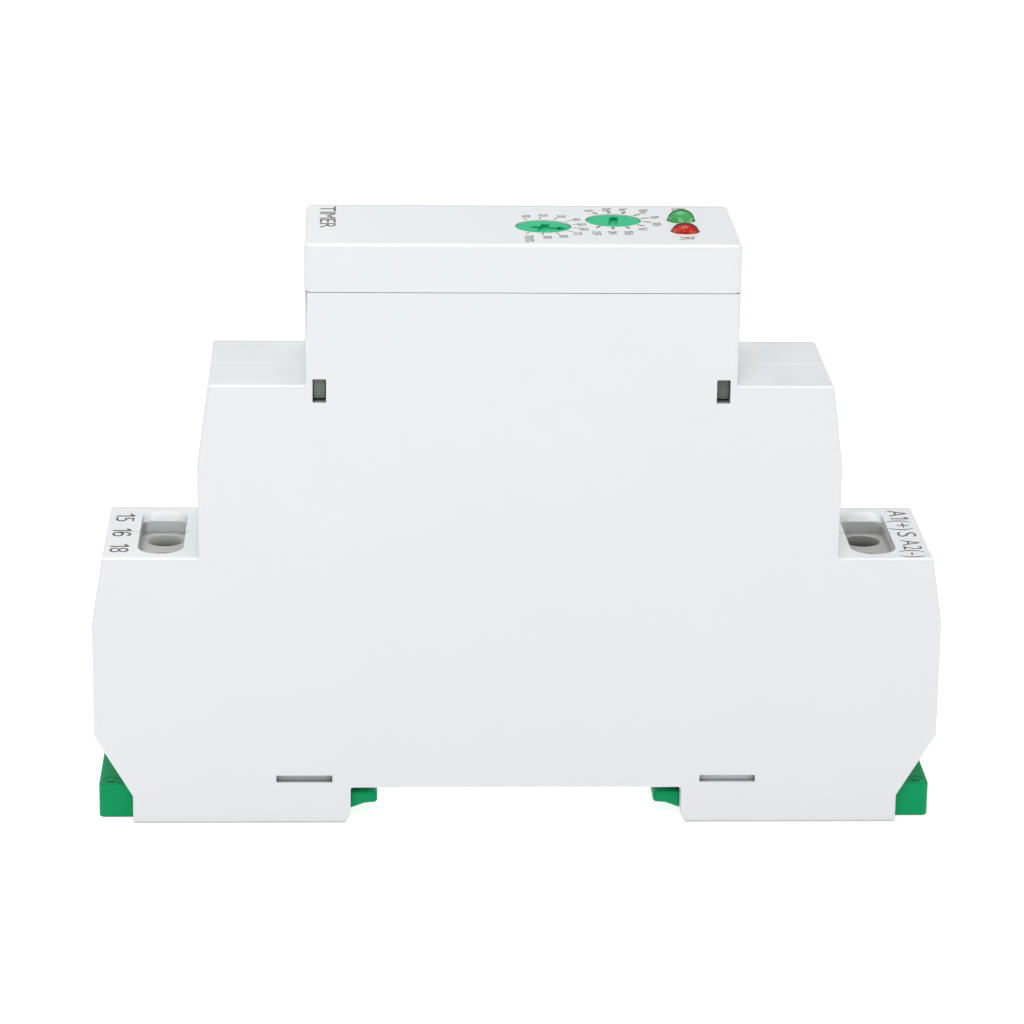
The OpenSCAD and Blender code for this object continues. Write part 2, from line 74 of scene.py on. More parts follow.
# dials: x, y and turn of the pointer in degrees; lamps: x, y
TIME_DIAL = (2.35, -0.8, -12.0)
RANGE_DIAL = (9.85, 2.0, 85.0)
GREEN_LAMP = (17.03, 2.2)
RED_LAMP = (17.08, -2.7)


# ---------------------------------------------------------------- mesh helpers, mm
def add_object(mesh, name="piece"):
    ob = bpy.data.objects.new(name, mesh)
    bpy.context.scene.collection.objects.link(ob)
    return ob


def to_mesh(bm, name="piece"):
    mesh = bpy.data.meshes.new(name)
    bm.to_mesh(mesh)
    bm.free()
    return mesh


def to_object(bm, name="piece"):
    bmesh.ops.recalc_face_normals(bm, faces=bm.faces)
    return add_object(to_mesh(bm, name), name)


def apply_modifiers(ob):
    bpy.context.view_layer.update()
    depsgraph = bpy.context.evaluated_depsgraph_get()
    mesh = bpy.data.meshes.new_from_object(ob.evaluated_get(depsgraph))
    ob.modifiers.clear()
    old = ob.data
    ob.data = mesh
    if old.users == 0:
        bpy.data.meshes.remove(old)


def remove_object(ob):
    mesh = ob.data
    bpy.data.objects.remove(ob)
    if mesh.users == 0:
        bpy.data.meshes.remove(mesh)


def boolean(ob, tool, operation="DIFFERENCE"):
    """Applies the tool to the object and removes the tool."""
    modifier = ob.modifiers.new("boolean", "BOOLEAN")
    modifier.object = tool
    modifier.operation = operation
    modifier.solver = "EXACT"
    apply_modifiers(ob)
    remove_object(tool)


def join(name, pieces):
    bm = bmesh.new()
    for piece in pieces:
        bm.from_mesh(piece.data)
        remove_object(piece)
    return add_object(to_mesh(bm, name), name)


def place(ob, at=(0, 0, 0), turn=0, axis="Z"):
    """Turns the mesh by so many degrees about an axis, then moves it."""
    ob.data.transform(Matrix.Translation(at) @ Matrix.Rotation(math.radians(turn), 4, axis))
    return ob


def offset_poly(points, distance):
    """Mitred offset of a closed polygon; a positive distance grows it."""
    pairs = list(zip(points, points[1:] + points[:1]))
    area = sum(p[0] * q[1] - q[0] * p[1] for p, q in pairs) / 2
    sign = 1 if area > 0 else -1
    moved = []
    for i, point in enumerate(points):
        before, here = Vector(points[i - 1]), Vector(point)
        after = Vector(points[(i + 1) % len(points)])
        a, b = (here - before).normalized(), (after - here).normalized()
        normal_a, normal_b = Vector((a.y, -a.x)) * sign, Vector((b.y, -b.x)) * sign
        reach = distance / (1 + normal_a.dot(normal_b))
        moved.append(tuple(here + (normal_a + normal_b) * reach))
    return moved


def fillet_poly(points, radii, steps):
    """Rounds each corner of a polygon by its own radius; 0 leaves it sharp."""
    rounded = []
    for i, radius in enumerate(radii):
        if radius <= 0:
            rounded.append(points[i])
            continue
        here = Vector(points[i])
        a, b = Vector(points[i - 1]) - here, Vector(points[(i + 1) % len(points)]) - here
        length_a, length_b = a.length, b.length
        a, b = a / length_a, b / length_b
        half_angle = math.acos(a.dot(b)) / 2
        tangent = min(radius / math.tan(half_angle), 0.45 * length_a, 0.45 * length_b)
        radius = tangent * math.tan(half_angle)
        centre = here + (a + b).normalized() * (radius / math.sin(half_angle))
        start, end = here + a * tangent - centre, here + b * tangent - centre
        start_angle, end_angle = math.atan2(start.y, start.x), math.atan2(end.y, end.x)
        sweep = (end_angle - start_angle + math.pi) % (2 * math.pi) - math.pi
        for k in range(steps + 1):
            angle = start_angle + sweep * k / steps
            rounded.append((centre.x + radius * math.cos(angle),
                            centre.y + radius * math.sin(angle)))
    return rounded


def quarter_turn(steps):
    return [math.radians(90 * k / steps) for k in range(steps + 1)]


def foot_rim(z, radius, steps):
    """(height, inset) stations of a rounded rim that starts at z and widens."""
    return [(z + radius * (1 - math.cos(w)), radius * (1 - math.sin(w)))
            for w in quarter_turn(steps)]


def top_rim(z, radius, steps):
    """(height, inset) stations of a rounded rim that narrows and ends at z."""
    return [(z - radius + radius * math.sin(w), radius * (1 - math.cos(w)))
            for w in quarter_turn(steps)]


def solid(loops):
    """Closed solid through loops of 3-D points with the same count, capped at both ends."""
    bm = bmesh.new()
    rows = [[bm.verts.new(point) for point in loop] for loop in loops]
    count = len(rows[0])
    for a, b in zip(rows, rows[1:]):
        for i in range(count):
            j = (i + 1) % count
            bm.faces.new((a[i], a[j], b[j], b[i]))
    bm.faces.new(list(reversed(rows[0])))
    bm.faces.new(rows[-1])
    return to_object(bm)


def rounded_prism(points, start, end, steps):
    """X-Z outline extruded along Y; start and end are (y, fillet radius)."""
    stations = foot_rim(*start, steps) + top_rim(*end, steps)
    return solid([[(x, y, z) for x, z in offset_poly(points, -inset)] for y, inset in stations])


def rounded_rect(half_x, half_y, radius, z, steps, centre=(0, 0), inset=0.0):
    """Loop of points at height z."""
    radius -= inset
    arm_x, arm_y = half_x - inset - radius, half_y - inset - radius
    loop = []
    for side_x, side_y, start in ((1, 1, 0), (-1, 1, 90), (-1, -1, 180), (1, -1, 270)):
        for k in range(steps + 1):
            angle = math.radians(start + 90 * k / steps)
            loop.append((centre[0] + side_x * arm_x + radius * math.cos(angle),
                         centre[1] + side_y * arm_y + radius * math.sin(angle), z))
    return loop


def lathe(profile, steps=64, at=(0, 0, 0), lean=0):
    """Solid of revolution from (radius, height) pairs, lowest first; radius 0 closes an end.

    It is leaned by so many degrees about Y, then moved.
    """
    bm = bmesh.new()
    rows = []
    for radius, z in profile:
        angles = [2 * math.pi * k / steps for k in range(steps if radius else 1)]
        rows.append([bm.verts.new((radius * math.cos(w), radius * math.sin(w), z))
                     for w in angles])
    for a, b in zip(rows, rows[1:]):
        for i in range(steps):
            j = (i + 1) % steps
            if len(a) == 1:
                bm.faces.new((a[0], b[j], b[i]))
            elif len(b) == 1:
                bm.faces.new((a[i], a[j], b[0]))
            else:
                bm.faces.new((a[i], a[j], b[j], b[i]))
    if len(rows[0]) > 1:
        bm.faces.new(list(reversed(rows[0])))
    if len(rows[-1]) > 1:
        bm.faces.new(rows[-1])
    rotation = Matrix.Rotation(math.radians(lean), 3, "Y")
    bmesh.ops.rotate(bm, verts=bm.verts, cent=(0, 0, 0), matrix=rotation)
    bmesh.ops.translate(bm, verts=bm.verts, vec=at)
    return to_object(bm)


def mouth(radius, z, spread, rise, angles):
    """Lathe profile of a hole's rounded mouth, widening upwards from z."""
    return [(radius + spread * (1 - math.cos(math.radians(a))),
             z + rise * math.sin(math.radians(a))) for a in angles]


def cuboid(low, high, bevel=0.0):
    bm = bmesh.new()
    bmesh.ops.create_cube(bm, size=1)
    for vert in bm.verts:
        vert.co = Vector([low[i] if vert.co[i] < 0 else high[i] for i in range(3)])
    if bevel:
        bmesh.ops.bevel(bm, geom=list(bm.edges), offset=bevel, segments=3, profile=0.5,
                        affect="EDGES", clamp_overlap=True)
    return to_object(bm)


def cad_copy(node):
    """The CAD node's mesh, welded and in mm, as a tool for booleans."""
    bm = bmesh.new()
    bm.from_mesh(NODES[node].data)
    for vert in bm.verts:
        vert.co *= 1000
    bmesh.ops.remove_doubles(bm, verts=bm.verts, dist=2e-4)
    bmesh.ops.dissolve_degenerate(bm, edges=bm.edges, dist=1e-5)
    return to_object(bm)


def tidy(ob, sharp_angle, weighted):
    """Welds the mesh and shades it smooth with sharp edges kept."""
    bm = bmesh.new()
    bm.from_mesh(ob.data)
    bmesh.ops.remove_doubles(bm, verts=bm.verts, dist=5e-4)
    bmesh.ops.dissolve_degenerate(bm, edges=bm.edges, dist=5e-4)
    for face in bm.faces:
        face.smooth = True
    bm.to_mesh(ob.data)
    bm.free()
    ob.data.set_sharp_from_angle(angle=math.radians(sharp_angle))
    if weighted:
        modifier = ob.modifiers.new("weighted_normal", "WEIGHTED_NORMAL")
        modifier.keep_sharp = True
        modifier.weight = 60
        modifier.mode = "FACE_AREA"
        apply_modifiers(ob)


def finish(ob, name, body, material, node=None, sharp_angle=32, weighted=True, extra=()):
    tidy(ob, sharp_angle, weighted)
    ob.data.transform(Matrix.Scale(0.001, 4))
    ob.name = name
    ob.data.name = name
    ob.data.materials.clear()
    for material_name in (material, *extra):
        ob.data.materials.append(MATERIALS[material_name])
    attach(ob, body)
    if node:
        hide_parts(node)
    return ob


# ---------------------------------------------------------------- shader helpers, metres
def tint(colour, factor):
    return tuple(min(1, channel * factor) for channel in colour)


class Shader:
    """A Principled material whose textures run in object space."""

    def __init__(self, name):
        self.material = bpy.data.materials.new(name)
        self.material.use_nodes = True
        self.tree = self.material.node_tree
        self.tree.nodes.clear()
        output = self.node("OutputMaterial")
        self.bsdf = self.node("BsdfPrincipled")
        self.tree.links.new(self.bsdf.outputs[0], output.inputs[0])
        self.place = self.node("TexCoord").outputs["Object"]

    def fill(self, node, inputs):
        """Links sockets and sets values; an RGB colour gets alpha 1."""
        for key, value in inputs.items():
            socket = node.inputs[key]
            if isinstance(value, bpy.types.NodeSocket):
                self.tree.links.new(value, socket)
                continue
            if isinstance(value, tuple) and len(socket.default_value) == 4:
                value = (*value, 1)
            socket.default_value = value

    def node(self, kind, inputs=None, **settings):
        node = self.tree.nodes.new("ShaderNode" + kind)
        for key, value in settings.items():
            setattr(node, key, value)
        self.fill(node, inputs or {})
        return node

    def surface(self, inputs):
        """Fills the Principled node and returns the material."""
        self.fill(self.bsdf, inputs)
        return self.material

    def noise(self, scale, detail=2.0, roughness=0.5, stretch=None):
        vector = self.place
        if stretch:
            vector = self.node("Mapping", {"Scale": stretch, "Vector": vector}).outputs[0]
        return self.node("TexNoise", {"Scale": scale, "Detail": detail, "Roughness": roughness,
                                      "Vector": vector}).outputs["Fac"]

    def mix(self, factor, a, b):
        return self.node("Mix", {0: factor, 6: a, 7: b}, data_type="RGBA").outputs[2]

    def ramp(self, value, span=(0.0, 1.0), to=(0.0, 1.0)):
        """Maps the span on to the two ends of `to`, held constant outside it."""
        inputs = {0: value, 1: span[0], 2: span[1], 3: to[0], 4: to[1]}
        return self.node("MapRange", inputs).outputs[0]

    def math(self, operation, *values):
        return self.node("Math", dict(enumerate(values)), operation=operation).outputs[0]

    def times(self, product, *factors):
        for factor in factors:
            product = self.math("MULTIPLY", product, factor)
        return product

    def band(self, value, low, high, soft=0.00004):
        """1 between low and high, with a soft step at both ends."""
        return self.times(self.ramp(value, (low - soft, low + soft)),
                          self.ramp(value, (high - soft, high + soft), to=(1.0, 0.0)))

    def split(self, vector):
        return self.node("SeparateXYZ", {0: vector}).outputs

    def occlusion(self, reach):
        return self.node("AmbientOcclusion", {"Distance": reach}, samples=12).outputs["AO"]

    def bump(self, height, strength, distance, under=None):
        inputs = {"Strength": strength, "Distance": distance, "Height": height}
        if under is not None:
            inputs["Normal"] = under
        return self.node("Bump", inputs).outputs[0]

    def moulded_bump(self, blotches, grain, grain_strength):
        """Fine grain over faint broad waves."""
        waves = self.bump(blotches, strength=0.12, distance=0.00006)
        return self.bump(grain, grain_strength, distance=0.000012, under=waves)


# ---------------------------------------------------------------- materials
class HousingShader(Shader):
    """Light moulded plastic, with painted light and shade set by place and by the way each face
    looks.
    """

    def __init__(self, name, colour):
        super().__init__(name)
        self.blotches = self.noise(scale=90, detail=3.0)
        self.grain = self.noise(scale=6200, detail=3.0, roughness=0.6)
        self.body = self.mix(self.blotches, tint(colour, 0.988), tint(colour, 1.012))
        self.x, self.y, self.z = self.split(self.place)
        self.abs_x = self.math("ABSOLUTE", self.x)
        self.abs_y = self.math("ABSOLUTE", self.y)
        normal = self.split(self.node("NewGeometry").outputs["Normal"])
        self.abs_normal_x = self.math("ABSOLUTE", normal[0])
        self.normal_y, self.normal_z = normal[1], normal[2]
        self.up = self.math("MAXIMUM", self.normal_z, 0.0)

    def paint(self, mask, colour):
        self.body = self.mix(mask, self.body, colour)

    def by_side(self, left, right):
        """One value at -X and another at +X."""
        return self.ramp(self.x, (-0.001, 0.001), to=(left, right))

    def box(self, x_span, y_end, z_span, soft_z=0.00004):
        """Mask of a box at each end of the housing, centred on Y."""
        return self.times(self.band(self.abs_x, *x_span), self.band(self.abs_y, -1.0, y_end),
                          self.band(self.z, *z_span, soft_z))

    def paint_shade_on_upward_faces(self):
        """Painted shade: a little darker towards +X and on the steps; returns the masks of the
        two steps.
        """
        darker = self.ramp(self.x, (-0.045, 0.045))
        self.paint(self.times(darker, self.up, 0.045), (0, 0, 0))
        middle = self.times(self.band(self.z, 0.0446, 0.0450), self.up)
        low = self.times(self.band(self.z, 0.02588, 0.0261), self.up)
        self.paint(self.times(middle, 0.04), (0, 0, 0))
        steps = self.math("ADD", middle, low)
        towards_right = self.ramp(self.x, (0.0, 0.020), to=(0.0, 0.045))
        self.paint(self.times(steps, towards_right), (0.05, 0, 0.02))
        return middle, low

    def paint_shade_on_side_faces(self):
        """Painted shade: the broad Y faces read greyer towards the foot and +X."""
        facing = self.ramp(self.math("ABSOLUTE", self.normal_y), (0.80, 0.96))
        flat = self.times(facing, self.band(self.abs_y, 0.0083, 0.020))
        grey = self.math("ADD", self.ramp(self.z, (0.004, 0.060), to=(0.145, 0.045)),
                         self.ramp(self.x, (-0.04, 0.04), to=(-0.015, 0.025)))
        self.paint(self.times(flat, grey), (0.50, 0.40, 0.50))

    def paint_light_on_cap_face(self):
        """Painted light: the front face is lighter towards -X."""
        lighter = self.ramp(self.x, (-0.022, 0.010), to=(0.24, 0.0))
        mask = self.times(self.band(self.z, 0.0592, 0.0650), self.up, lighter)
        self.paint(mask, (0.97, 0.98, 1.0))

    def lift_inner_shoulders(self, middle, low):
        """Light thrown back on the shoulders by the upright walls beside them."""
        near_middle = self.times(self.ramp(self.abs_x, (0.0225, 0.0275), to=(1.0, 0.0)), middle)
        near_low = self.times(self.ramp(self.abs_x, (0.03375, 0.0378), to=(1.0, 0.0)), low)
        lift = self.times(self.math("ADD", near_middle, near_low), self.by_side(0.42, 0.75))
        self.paint(lift, (0.98, 0.985, 0.99))

    def paint_edge_highlights_and_shade(self):
        """Painted highlights on the rounded edges at -Y; painted shade as dark slivers on the
        end faces and the +Y rim.
        """
        towards_near = self.ramp(self.normal_y, (-0.30, -0.12), to=(1.0, 0.0))
        slanted = self.band(self.normal_z, 0.30, 0.90, soft=0.12)
        # painted highlight on the rounded edges that face -Y
        self.paint(self.times(slanted, towards_near, 0.45), (0.99, 0.99, 0.99))
        seam = (0.0546, 0.0547)
        shoulder_side = self.times(self.ramp(self.abs_normal_x, (0.62, 0.82)),
                                   self.ramp(self.z, seam, to=(1.0, 0.0)))
        cap_side = self.times(self.ramp(self.abs_normal_x, (0.84, 0.94)),
                              self.ramp(self.z, seam))
        sliver = self.times(self.math("ADD", shoulder_side, cap_side),
                            self.ramp(self.normal_y, (-0.06, -0.01), to=(1.0, 0.0)),
                            self.by_side(0.85, 1.6))
        rim_y = self.ramp(self.z, (0.026, 0.060), to=(0.0084, 0.0081))
        past_rim = self.ramp(self.math("SUBTRACT", self.y, rim_y), (-0.00004, 0.00004))
        sliver = self.math("MAXIMUM", sliver, self.times(past_rim, self.up))
        # painted shade on the end-face slivers and the +Y rim
        self.paint(self.times(sliver, 0.15), (0.02, 0.02, 0.02))

    def paint_shade_in_wells(self):
        """Painted shade by depth on the floor, walls and flared mouths of the terminal wells."""
        well = self.box((0.0352, 0.0404), 0.00585, (0.0230, 0.02533))
        right = self.by_side(0.0, 1.0)
        towards_end = self.ramp(self.x, (0.0358, 0.0402), to=(0.08, 0.32))
        wall = self.math("ADD", self.ramp(self.z, (0.0242, 0.0253), to=(0.20, 0.03)),
                         self.times(right, towards_end))
        outer_wall = self.times(self.ramp(self.abs_normal_x, (0.55, 0.85)),
                                self.ramp(self.abs_x, (0.0376, 0.0380)))
        upper = self.times(self.ramp(self.z, (0.02488, 0.02500)), right)
        wall = self.math("MAXIMUM", wall, self.times(outer_wall, 0.50))
        upper_outer = self.times(outer_wall, self.times(upper, 0.9))
        wall = self.times(wall, self.math("SUBTRACT", 1.0, upper_outer))
        floor = self.times(self.ramp(self.z, (0.02407, 0.02418), to=(0.50, 0.0)),
                           self.math("ADD", 1.0, self.times(right, 0.12)))
        tone = self.math("MAXIMUM", floor, wall)
        self.paint(self.times(well, tone), (0.13, 0.11, 0.05))
        # painted shade on the flared mouths, fading upwards
        flare = self.box((0.0350, 0.0408), 0.0076, (0.02533, 0.02590), soft_z=0.00003)
        fading_up = self.ramp(self.z, (0.0254, 0.0259), to=(0.30, 0.09))
        self.paint(self.times(flare, fading_up), (0.10, 0.10, 0.09))

    def paint_shade_in_slits_and_lips(self):
        """Painted shade in the foot slits at -X and on the -Y lips of the wells."""
        slit = self.box((0.0196, 0.0257), 0.0089, (0.0006, 0.0015))
        self.paint(self.times(slit, self.by_side(0.22, 0.0)), (0.05, 0.055, 0.05))
        lip = self.times(self.band(self.abs_x, 0.0352, 0.0404),
                         self.band(self.y, -0.0080, -0.0052),
                         self.band(self.z, 0.02533, 0.02588))
        self.paint(self.times(lip, 0.45), (0.05, 0.055, 0.05))

    def shade_corners(self):
        """Soft shade in corners, held back on the front face."""
        clear = self.math("MAXIMUM", self.ramp(self.occlusion(0.0032), (0.15, 0.50)),
                          self.ramp(self.z, (0.0590, 0.0592), to=(0.0, 0.75)))
        self.body = self.mix(clear, (0.22, 0.23, 0.22), self.body)

    def paint_driver_hole_shade_and_glow(self):
        """Dark driver holes; returns the glow that comes through their thin walls."""
        # Painted shade darkens the driver holes; returns a painted glow for their walls, rising
        # towards the mouth.
        from_x = self.math("SUBTRACT", self.abs_x, TERMINAL_X / 1000)
        from_y = self.math("SUBTRACT", self.abs_y, TERMINAL_Y / 1000)
        squares = self.math("ADD", self.times(from_x, from_x), self.times(from_y, from_y))
        distance = self.math("SQRT", squares)
        bore = self.times(self.band(distance, -1.0, 0.0022),
                          self.band(self.z, 0.020, 0.02393), 1.0)
        self.paint(self.times(bore, 0.82), (0.02, 0.02, 0.02))
        rising = self.ramp(self.z, (0.0227, 0.0240), to=(0.075, 0.30))
        return self.times(bore, rising, self.by_side(1.0, 0.46))


def housing_plastic(name, colour):
    s = HousingShader(name, colour)
    middle, low = s.paint_shade_on_upward_faces()
    s.paint_shade_on_side_faces()
    s.paint_light_on_cap_face()
    s.lift_inner_shoulders(middle, low)
    s.paint_edge_highlights_and_shade()
    s.paint_shade_in_wells()
    s.paint_shade_in_slits_and_lips()
    s.shade_corners()
    painted_glow = s.paint_driver_hole_shade_and_glow()
    return s.surface({
        "Base Color": s.body,
        # emission paints a glow into the driver holes; it is painted light, not a lamp
        "Emission Color": (0.97, 1.0, 0.94),
        "Emission Strength": painted_glow,
        "Roughness": s.ramp(s.grain, to=(0.25, 0.36)),
        "Normal": s.moulded_bump(s.blotches, s.grain, grain_strength=0.22),
        "Specular IOR Level": 0.55,
    })


def plastic(name, colour, roughness, variation, grain_mm, grain_strength, blotch_mm,
            specular=0.5, coat=0.0, shade=None):
    """shade = (reach in mm, corner colour, occlusion where it is full, where it ends)."""
    s = Shader(name)
    blotches = s.noise(1000 / blotch_mm, detail=3.0)
    grain = s.noise(1000 / grain_mm, detail=3.0, roughness=0.6)
    body = s.mix(blotches, tint(colour, 1 - variation), tint(colour, 1 + variation))
    if shade:
        reach_mm, corner_colour, full, clear = shade
        body = s.mix(s.ramp(s.occlusion(reach_mm / 1000), (full, clear)), corner_colour, body)
    return s.surface({
        "Base Color": body,
        "Roughness": s.ramp(grain, to=(roughness - 0.05, roughness + 0.07)),
        "Normal": s.moulded_bump(blotches, grain, grain_strength),
        "Specular IOR Level": specular,
        "Coat Weight": coat,
        "Coat Roughness": 0.15,
    })


def latch_plastic(name, colour):
    """Latch legs seen through the side windows, in a dark copy of the white plastic as painted
    shade, with more painted shade on the +X side.
    """
    s = Shader(name)
    blotches = s.noise(scale=600, detail=3.0)
    grain = s.noise(scale=5000, detail=3.0, roughness=0.6)
    # painted shade, darker towards +X
    side = s.ramp(s.split(s.place)[0], (-0.02, 0.02))
    dark = s.mix(side, tint(colour, 0.92), tint(colour, 0.64))
    light = s.mix(side, tint(colour, 1.02), tint(colour, 0.73))
    return s.surface({
        "Base Color": s.mix(blotches, dark, light),
        "Roughness": s.ramp(grain, to=(0.45, 0.57)),
        "Normal": s.bump(grain, strength=0.3, distance=0.000012),
    })


def metal(name, colour, roughness, brushed_along):
    s = Shader(name)
    stretch = tuple(0.05 if axis == brushed_along else 1 for axis in "XYZ")
    brush = s.noise(scale=9000, roughness=0.6, stretch=stretch)
    dirt = s.noise(scale=700, detail=3.0)
    return s.surface({
        "Base Color": s.mix(dirt, tint(colour, 0.82), tint(colour, 1.08)),
        "Roughness": s.ramp(brush, to=(roughness - 0.08, roughness + 0.12)),
        "Normal": s.bump(brush, strength=0.35, distance=0.00001),
        "Metallic": 1.0,
    })


def circuit_board(name):
    """Green board with lighter tracks in some zones."""
    s = Shader(name)
    upright = s.node("Mapping", {"Vector": s.place, "Rotation": (math.radians(90), 0, 0)})
    brick = s.node("TexBrick", {
        "Vector": upright.outputs[0],
        "Scale": 130,
        "Mortar Size": 0.024,
        "Brick Width": 2.3,
        "Row Height": 0.165,
    }, offset=0.37)
    base = s.mix(s.noise(scale=300, detail=3.0), (0.010, 0.11, 0.035), (0.018, 0.17, 0.055))
    zone = s.ramp(s.noise(scale=95), (0.49, 0.52))
    track = s.times(brick.outputs["Fac"], zone)
    return s.surface({
        "Base Color": s.mix(track, base, (0.035, 0.24, 0.08)),
        "Normal": s.bump(track, strength=0.4, distance=0.00003),
        "Roughness": 0.28,
        "Coat Weight": 0.4,
    })


def coil_copper(name):
    """Copper with bands across X as windings."""
    s = Shader(name)
    windings = s.node("TexWave", {
        "Vector": s.place,
        "Scale": 1400,
        "Distortion": 0.6,
        "Detail Scale": 2.0,
    }, bands_direction="X").outputs["Fac"]
    return s.surface({
        "Base Color": s.mix(windings, (0.20, 0.05, 0.015), (0.62, 0.22, 0.08)),
        "Normal": s.bump(windings, strength=0.8, distance=0.00006),
        "Metallic": 0.7,
        "Roughness": 0.3,
    })


def lens(name, colour, dark, painted_glow):
    """Tinted dome with painted shade, dark where it turns away from the eye, and a painted glow,
    lighter near its foot.
    """
    s = Shader(name)
    facing = s.node("LayerWeight", {"Blend": 0.5}).outputs["Facing"]
    cloud = s.noise(scale=1400)
    foot = FACE_Z / 1000
    near_foot = s.ramp(s.split(s.place)[2], (foot, foot + 0.00055), to=(1.0, 0.0))
    body = s.mix(cloud, tint(colour, 0.78), tint(colour, 1.15))
    # painted glow in patches near the foot
    body = s.mix(s.times(near_foot, s.ramp(cloud, (0.46, 0.62))), body, painted_glow)
    return s.surface({
        # painted shade at the rim where the dome turns away
        "Base Color": s.mix(s.ramp(facing, (0.44, 0.66)), body, dark),
        "Roughness": 0.10,
        "Specular IOR Level": 0.22,
        "Subsurface Weight": 0.15,
        "Subsurface Radius": (1.0, 1.0, 1.0),
        "Subsurface Scale": 0.0005,
        "Normal": s.bump(s.noise(scale=2500), strength=0.08, distance=0.00002),
    })


# name, colour, roughness, colour variation, grain size mm, grain strength, blotch size mm, more
PLASTICS = [
    ("dial_plastic", (0.024, 0.475, 0.218), 0.40, 0.05, 0.2, 0.3, 1.6,
     dict(specular=0.12, shade=(0.8, (0.012, 0.34, 0.165), 0.35, 0.85))),
    ("clip_plastic", (0.002, 0.308, 0.108), 0.40, 0.10, 0.30, 0.7, 2.2,
     dict(specular=0.10, shade=(0.5, (0.001, 0.035, 0.016), 0.2, 0.72))),
    ("print_ink", (0.105, 0.090, 0.078), 0.6, 0.12, 0.12, 0.3, 0.8, {}),
    ("print_ink_fine", (0.19, 0.165, 0.148), 0.6, 0.12, 0.12, 0.3, 0.8, {}),
    ("black_plastic", (0.028, 0.028, 0.030), 0.45, 0.15, 0.2, 0.4, 4.0, {}),
    ("trimmer_body", (0.03, 0.09, 0.38), 0.4, 0.1, 0.2, 0.3, 2.0, {}),
    ("relay_cover_plastic", (0.50, 0.52, 0.53), 0.35, 0.05, 0.2, 0.3, 6.0, {}),
    ("bobbin_plastic", (0.66, 0.63, 0.52), 0.45, 0.06, 0.2, 0.3, 3.0, {}),
    ("capacitor_box", (0.52, 0.36, 0.05), 0.4, 0.08, 0.2, 0.35, 5.0, {}),
    ("capacitor_sleeve", (0.02, 0.035, 0.12), 0.28, 0.12, 0.3, 0.3, 3.0, dict(coat=0.3)),
    ("varistor_coating", (0.02, 0.10, 0.30), 0.3, 0.1, 0.3, 0.5, 1.5, dict(coat=0.3)),
    ("resistor_body", (0.50, 0.36, 0.19), 0.35, 0.1, 0.2, 0.3, 1.2, {}),
    ("fusible_body", (0.22, 0.38, 0.50), 0.35, 0.1, 0.2, 0.3, 1.5, {}),
]
# name, colour, roughness, axis of the brushing
METALS = [
    ("screw_steel", (0.34, 0.34, 0.33), 0.38, "X"),
    ("tinned_steel", (0.60, 0.60, 0.58), 0.32, "Z"),
    ("spring_steel", (0.55, 0.56, 0.58), 0.22, "X"),
    ("magnet_iron", (0.48, 0.48, 0.50), 0.35, "X"),
    ("contact_brass", (0.72, 0.50, 0.20), 0.25, "X"),
]
# name, colour, painted shade colour where it turns away, painted glow colour near the foot
LENSES = [
    ("green_lens", (0.07, 0.42, 0.13), (0.006, 0.06, 0.03), (0.45, 0.85, 0.35)),
    ("red_lens", (0.52, 0.014, 0.007), (0.035, 0.003, 0.003), (0.80, 0.14, 0.07)),
]
MATERIALS = {
    "housing_plastic": housing_plastic("housing_plastic", (0.80, 0.825, 0.845)),
    # dark material that paints the shade on the latch legs in the side windows
    "latch_plastic": latch_plastic("latch_plastic", (0.20, 0.225, 0.18)),
    "coil_copper": coil_copper("coil_copper"),
    "circuit_board": circuit_board("circuit_board"),
}
for *row, more in PLASTICS:
    MATERIALS[row[0]] = plastic(*row, **more)
for row in METALS:
    MATERIALS[row[0]] = metal(*row)
for row in LENSES:
    MATERIALS[row[0]] = lens(*row)

for row in frame["record"]["subparts"]:
    ob = NODES[row["node"]]
    ob.data.materials.clear()
    ob.data.materials.append(MATERIALS[row["material_slot"]])


# ---------------------------------------------------------------- housing halves
# centre x, then half x, half y and corner radius of the terminal well
WELL_X = 37.82
WELL = (2.40, 5.71, 1.41)
WELL_FLARE = (0.03, 1.70, 0.93)  # what a full flare adds to each size in WELL
# depth below the shoulder, share of the flare
WELL_FLARE_STATIONS = [
    (0.66, 0.0), (0.60, 0.02), (0.55, 0.06), (0.50, 0.13), (0.42, 0.27),
    (0.30, 0.49), (0.17, 0.72), (0.08, 0.88), (0.03, 0.96), (-0.002, 1.03),
]
# |x| from, |x| to, z from, z to, depth of the pockets in the side faces
SIDE_WINDOWS = [(20.33, 21.7, 42.93, 45.42, 1.8), (19.69, 25.63, 0.7, 1.45, 0.71)]


def well_tool(side_x):
    """Rounded floor edge, upright wall, and ends that open softly into the shoulder."""
    centre = (side_x * WELL_X, 0)
    top = SHOULDER_Z - SKIN
    loops = [rounded_rect(*WELL, z, 12, centre, inset)
             for z, inset in foot_rim(WELL_Z - SKIN, 0.2, 3)]
    for depth, share in WELL_FLARE_STATIONS:
        sizes = [size + added * share for size, added in zip(WELL, WELL_FLARE)]
        loops.append(rounded_rect(*sizes, top - depth, 12, centre))
    loops.append(rounded_rect(2.43, 7.46, 2.37, SHOULDER_Z + 1.6, 12, centre))
    return solid(loops)


def driver_tool(x, y):
    """Screwdriver hole in the floor of a well."""
    profile = [(1.955, 20.9)]
    profile += mouth(1.955, WELL_Z - SKIN - 0.16, 0.16, 0.163, range(0, 81, 16))
    profile.append((2.085, WELL_Z + 0.4))
    return lathe(profile, 56, (x, y, 0))


def wire_tool(side_x, y):
    """Wire hole in an end face."""
    radius, mouth_x = 1.505, 44.55
    profile = [(radius, 42.0), (radius, mouth_x)]
    profile += mouth(radius, mouth_x, 0.42, 0.448, range(10, 81, 10))
    profile.append((profile[-1][0], 46.5))
    return lathe(profile, 56, (0, y, WIRE_Z), lean=90 * side_x)


